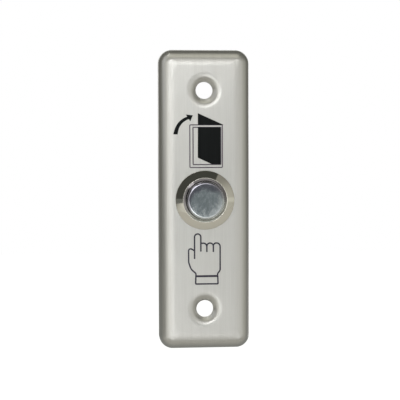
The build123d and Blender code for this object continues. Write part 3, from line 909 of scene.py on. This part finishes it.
for node_name, finish in {
    "panel_gasket": RUBBER,
    "cap_seal": RUBBER,
    "retaining_clip": SPRING_STEEL,
    "plunger": NYLON,
    "contact_bridge": BRASS,
    "left_fixed_contact": SILVER,
    "right_fixed_contact": SILVER,
    "left_moving_contact": SILVER,
    "right_moving_contact": SILVER,
}.items():
    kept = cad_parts[node_name]
    kept.data.materials.clear()
    kept.data.materials.append(finish)


# Studio

def toward(azimuth, off_axis):
    """Unit vector off_axis degrees from the face's axis, turned by azimuth anticlockwise from the right."""
    a, p = math.radians(azimuth), math.radians(off_axis)
    return Vector((math.sin(p) * math.cos(a), -math.cos(p), math.sin(p) * math.sin(a)))


def soft_light(name, azimuth, off_axis, wide, high, radiance, *only):
    """Rectangular soft light that faces the middle of the plate from the studio's distance.

    It is as wide along the azimuth and as high along the off-axis angle as the degrees given. A light that is
    given pieces falls on those only.
    """
    lamp = bpy.data.lights.new(name, "AREA")
    lamp.shape = "RECTANGLE"
    lamp.size, lamp.size_y = (2 * LAMP_DISTANCE * math.tan(math.radians(angle) / 2) for angle in (wide, high))
    lamp.energy = radiance * math.pi * lamp.size * lamp.size_y
    made = bpy.data.objects.new(name, lamp)
    bpy.context.scene.collection.objects.link(made)
    back = toward(azimuth, off_axis)
    across = toward(azimuth + 90, 90)
    axes = Matrix((across, back.cross(across), back)).transposed()
    made.matrix_world = Matrix.Translation(back * LAMP_DISTANCE) @ axes.to_4x4()
    if only:
        made.light_linking.receiver_collection = bpy.data.collections.new(name + " falls on")
        for piece in only:
            made.light_linking.receiver_collection.objects.link(piece)
    return made


# Soft cards of the room that metal shows: azimuth and off-axis angle of the middle, half angles to which a
# card is full and to which it fades, in degrees, and the light that it adds
CARDS = [
    (-5, 68, 10, 46, (0.21, 0.21, 0.19)),
    (80, 13.5, 3, 12, (2.5, 2.5, 2.5)),
    (180, 21, 2, 18, (0.65, 0.65, 0.64)),
    (180, 38, 4, 30, (0.36, 0.36, 0.35)),
    (215, 50, 8, 30, (0.32, 0.32, 0.3)),
    (278, 17, 3, 22, (0.75, 0.75, 0.75)),
]

# Bands beside the object, one over the other: first and last angle to the left of up, softness, in degrees,
# and colour. BAND_REACH is the off-axis angles between which they show.
BANDS = [
    (85, 100, 0.8, (0.16, 0.165, 0.155)),
    (-96, -87, 1.5, (0.62, 0.62, 0.56)),
    (-33, 89, 0.8, (0.06, 0.062, 0.055)),
]
BAND_REACH = (52, 78)
REACH_SOFTNESS = 3.0

# Room ahead, beside and behind, and the off-axis angles between which one passes into the next, in degrees
ROOM_AHEAD = (0.30, 0.295, 0.265, 1)
ROOM_BESIDE = (0.165, 0.165, 0.145, 1)
ROOM_BEHIND = (0.62, 0.62, 0.60, 1)
AHEAD_TO_BESIDE = (62, 98)
BESIDE_TO_BEHIND = (132, 158)

# Darker disc straight ahead, which the flat faces show, and the off-axis angles over which it ends
DISC = (0.178, 0.198, 0.2, 1)
DISC_EDGE = (10, 14)

MATT_LIGHT = (0.78, 0.78, 0.77, 1)
WHITE = (1, 1, 1, 1)


def studio_world():
    """World whose colour depends on what looks at it.

    The camera sees white and matt surfaces an even grey. Metal and glass see a warm grey room with soft
    bright cards, a grey, a pale and a dark band beside the object, and a darker disc straight ahead.
    """
    world = bpy.data.worlds.new("studio")
    bpy.context.scene.world = world
    world.use_nodes = True
    world.cycles.sampling_method = "NONE"
    tree = world.node_tree
    tree.nodes.clear()
    way = tree.nodes.new("ShaderNodeTexCoord").outputs["Generated"]
    x, y, z = node(tree, "ShaderNodeSeparateXYZ", {0: way}).outputs
    left_of_up = math_node(tree, "ARCTAN2", math_node(tree, "MULTIPLY", x, -1.0), z)
    off_axis = math_node(tree, "ARCCOSINE", math_node(tree, "MULTIPLY", y, -1.0))

    def step(value, low, high):
        """Share that grows from 0 to 1 between two angles in degrees."""
        return ramp(tree, value, math.radians(low), math.radians(high))

    def band(value, low, high, soft):
        """Share that is 1 between two angles in degrees and fades over twice the softness at both."""
        begun = step(value, low - soft, low + soft)
        return math_node(tree, "SUBTRACT", begun, step(value, high - soft, high + soft))

    colour = mixed(tree, step(off_axis, *AHEAD_TO_BESIDE), ROOM_AHEAD, ROOM_BESIDE)
    colour = mixed(tree, step(off_axis, *BESIDE_TO_BEHIND), colour, ROOM_BEHIND)
    for card_azimuth, card_off, full, faded, light in CARDS:
        middle = {0: way, 1: toward(card_azimuth, card_off)}
        aim = node(tree, "ShaderNodeVectorMath", middle, operation="DOT_PRODUCT").outputs["Value"]
        share = ramp(tree, aim, math.cos(math.radians(faded)), math.cos(math.radians(full)))
        inputs = {"Factor": share, "A": colour, "B": light + (1,)}
        colour = node(tree, "ShaderNodeMix", inputs, data_type="RGBA", blend_type="ADD").outputs[2]
    reach = band(off_axis, *BAND_REACH, REACH_SOFTNESS)
    for first, last, soft, shade in BANDS:
        share = math_node(tree, "MULTIPLY", band(left_of_up, first, last, soft), reach)
        colour = mixed(tree, share, colour, shade + (1,))
    colour = mixed(tree, step(off_axis, *DISC_EDGE), DISC, colour)

    path = tree.nodes.new("ShaderNodeLightPath").outputs
    seen = math_node(tree, "ADD", path["Is Glossy Ray"], path["Is Transmission Ray"], True)
    matt_or_metal = mixed(tree, seen, MATT_LIGHT, colour)
    final = mixed(tree, path["Is Camera Ray"], matt_or_metal, WHITE)
    background = node(tree, "ShaderNodeBackground", {"Color": final, "Strength": 1.0})
    output = tree.nodes.new("ShaderNodeOutputWorld")
    tree.links.new(background.outputs[0], output.inputs["Surface"])


# Floor's colours in front and behind, the depths in metres between which one passes into the other, and the
# light that it gives the camera
FLOOR_KHAKI = (0.59, 0.575, 0.525, 1)
FLOOR_GREY = (0.34, 0.345, 0.33, 1)
FLOOR_FADE = (-0.12, 0.08)
FLOOR_LIFT = 0.8


def pale_floor():
    """Plain matt floor under the part, khaki in front and darker grey behind where metal mirrors it.

    For the camera it is lifted to white, except where the part's shadow falls.
    """
    corners = [
        (-FLOOR_HALF, FLOOR_FRONT, FLOOR_LEVEL), (FLOOR_HALF, FLOOR_FRONT, FLOOR_LEVEL),
        (FLOOR_HALF, FLOOR_BACK, FLOOR_LEVEL), (-FLOOR_HALF, FLOOR_BACK, FLOOR_LEVEL),
    ]
    mesh = bpy.data.meshes.new("floor")
    mesh.from_pydata(corners, [], [(0, 1, 2, 3)])
    made = bpy.data.objects.new("floor", mesh)
    bpy.context.scene.collection.objects.link(made)
    paper = bpy.data.materials.new("floor paper")
    paper.use_nodes = True
    tree = paper.node_tree
    tree.nodes.clear()
    path = tree.nodes.new("ShaderNodeLightPath").outputs
    place_at = tree.nodes.new("ShaderNodeTexCoord").outputs["Object"]
    behind = node(tree, "ShaderNodeSeparateXYZ", {0: place_at}).outputs[1]
    colour = mixed(tree, ramp(tree, behind, *FLOOR_FADE), FLOOR_KHAKI, FLOOR_GREY)
    matt = node(tree, "ShaderNodeBsdfDiffuse", {"Color": colour})
    lift = node(tree, "ShaderNodeEmission", {"Color": WHITE, "Strength": FLOOR_LIFT})
    both = node(tree, "ShaderNodeAddShader", {0: matt.outputs[0], 1: lift.outputs[0]})
    shaders = {0: path["Is Camera Ray"], 1: matt.outputs[0], 2: both.outputs[0]}
    mix = node(tree, "ShaderNodeMixShader", shaders)
    output = tree.nodes.new("ShaderNodeOutputMaterial")
    tree.links.new(mix.outputs[0], output.inputs["Surface"])
    mesh.materials.append(paper)


# Camera: yaw, pitch and roll in degrees, place in millimetres of the shared frame, and lens
CAMERA_TURN = (-4.852, -2.45, 0.22)
CAMERA_PLACE = (-29.9, -340.7, 14.4)
SENSOR_WIDTH = 36.0
FOCAL_LENGTH = 99.0


def camera():
    """Camera of the photograph, a little left of the face's axis and turned from looking along +Y."""
    yaw, pitch, roll = (math.radians(angle) for angle in CAMERA_TURN)
    turn = Matrix.Rotation(yaw, 3, "Z") @ Matrix.Rotation(pitch, 3, "X") @ Matrix.Rotation(roll, 3, "Y")
    lens = bpy.data.cameras.new("camera")
    lens.sensor_width = SENSOR_WIDTH
    lens.lens = FOCAL_LENGTH
    lens.clip_start, lens.clip_end = 0.01, 10.0
    made = bpy.data.objects.new("camera", lens)
    bpy.context.scene.collection.objects.link(made)
    right, up, back = turn @ Vector((1, 0, 0)), turn @ Vector((0, 0, 1)), turn @ Vector((0, -1, 0))
    axes = Matrix((right, up, back)).transposed()
    made.matrix_world = Matrix.Translation(Vector(CAMERA_PLACE) * MM) @ axes.to_4x4()
    bpy.context.scene.camera = made


studio_world()
pale_floor()
plate = bpy.data.objects["pressed_plate"]
head = bpy.data.objects["polished_head"]
soft_light("key light", 120, 14, 14, 14, 2.7)
soft_light("low light", 240, 15, 14, 14, 1.5)
above = soft_light("fill above", 92, 62, 54, 34, 0.64, plate)
above.data.color = (1.0, 0.985, 0.86)
soft_light("fill beside", 150, 66, 54, 28, 0.64, plate)
soft_light("fill right", 6, 30, 60, 36, 0.38, plate)
soft_light("back light", 322, 138, 34, 34, 0.9)
soft_light("rear light", 90, 160, 60, 36, 0.8)
soft_light("spark", 106, 77, 6, 6, 5.0)
soft_light("window", 130, 44, 16, 62, 1.5, head)
soft_light("sky", 70, 42, 70, 14, 0.4, head)
camera()
bpy.context.scene.view_settings.view_transform = "Standard"
